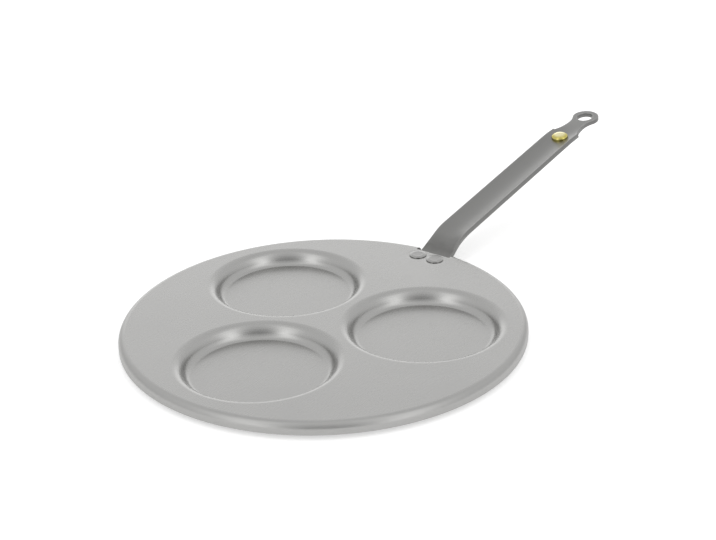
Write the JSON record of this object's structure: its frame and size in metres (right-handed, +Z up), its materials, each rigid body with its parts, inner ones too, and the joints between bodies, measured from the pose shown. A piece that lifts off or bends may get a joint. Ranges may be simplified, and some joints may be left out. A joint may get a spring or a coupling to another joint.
{
  "type": "pancake pan",
  "caption": "Round steel pancake pan with shallow round wells pressed into a flat plate, a turned-down rim and a long riveted strip handle that ends in a hanging eye.",
  "frame": {"origin": "centre of the plate's top face, on the pan's axis", "axes": "+X along the handle, +Z up out of the cooking face"},
  "size_m": [0.4904, 0.27, 0.0502],
  "materials": {
    "plate_steel": "satin raw steel",
    "handle_steel": "darker satin steel",
    "rivet_steel": "satin steel",
    "brass": "polished brass"
  },
  "bodies": {
    "root": {"pan_plate": "plate_steel", "handle": "handle_steel", "rivet_left": "rivet_steel", "rivet_right": "rivet_steel", "medallion_stud": "brass"}
  },
  "joints": []
}
